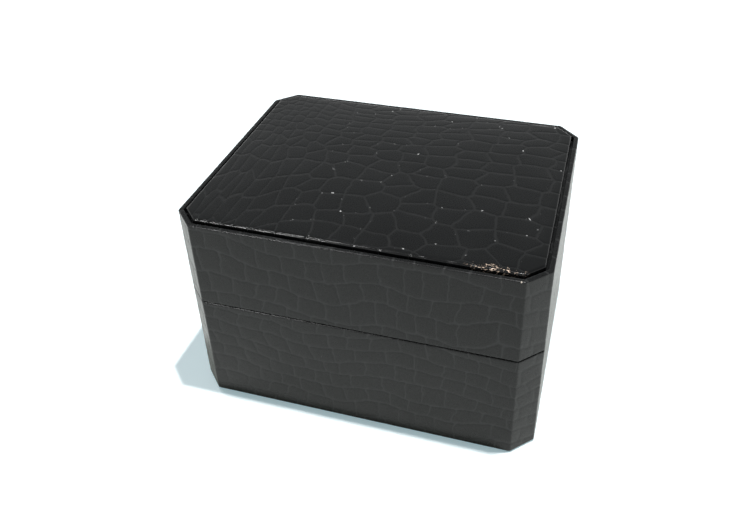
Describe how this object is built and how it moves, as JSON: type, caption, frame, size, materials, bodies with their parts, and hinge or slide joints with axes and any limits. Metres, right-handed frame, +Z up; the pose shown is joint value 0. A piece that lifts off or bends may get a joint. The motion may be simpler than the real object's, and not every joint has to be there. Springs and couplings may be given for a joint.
{
  "type": "watch box",
  "caption": "Hinged watch presentation box with cut corners, embossed black leatherette over board, a crowned pad on the lid and a lift-out watch cushion.",
  "frame": {"origin": "centre of the underside of the closed box's walls", "axes": "+Z up, +Y to the back where the hinges are, +X to the right seen from the front"},
  "size_m": [0.13, 0.1025, 0.0812],
  "materials": {
    "leatherette": "black crocodile emboss, semi-gloss",
    "greyboard": "matte recycled greyboard",
    "pile_cloth": "black flocked velvet",
    "cushion_cloth": "black velour",
    "satin": "black satin",
    "foam": "soft open-cell foam",
    "bottom_paper": "black matte paper",
    "hinge_steel": "nickel-plated pressed steel"
  },
  "bodies": {
    "base": {"base_wrap": "leatherette", "base_wall_board": "greyboard", "base_floor_board": "greyboard", "collar_card": "greyboard", "collar_cloth": "pile_cloth", "insert_cloth": "pile_cloth", "insert_foam": "foam", "base_bottom_sheet": "bottom_paper", "hinge_base_leaf_left": "hinge_steel", "hinge_base_leaf_right": "hinge_steel", "hinge_pin_left": "hinge_steel", "hinge_pin_right": "hinge_steel", "base_hinge_rivets": "hinge_steel"},
    "lid": {"lid_wrap": "leatherette", "lid_wall_board": "greyboard", "lid_top_board": "greyboard", "pad_cover": "leatherette", "pad_stiffener": "greyboard", "pad_foam": "foam", "lid_lining_card": "greyboard", "lid_lining_cloth": "pile_cloth", "satin_cover": "satin", "satin_stiffener": "greyboard", "satin_foam": "foam", "hinge_lid_leaf_left": "hinge_steel", "hinge_lid_leaf_right": "hinge_steel", "lid_hinge_rivets": "hinge_steel"},
    "cushion": {"cushion_cover": "cushion_cloth", "cushion_foam": "foam"}
  },
  "joints": [
    {"name": "lid_hinge", "type": "hinge", "parent": "base", "child": "lid", "pos_m": [0, 0.0508, 0.04535], "axis": [-1, 0, 0], "range_deg": [0, 100]},
    {"name": "cushion_lift", "type": "slide", "parent": "base", "child": "cushion", "axis": [0, 0, 1], "range_m": [0, 0.0145]}
  ]
}
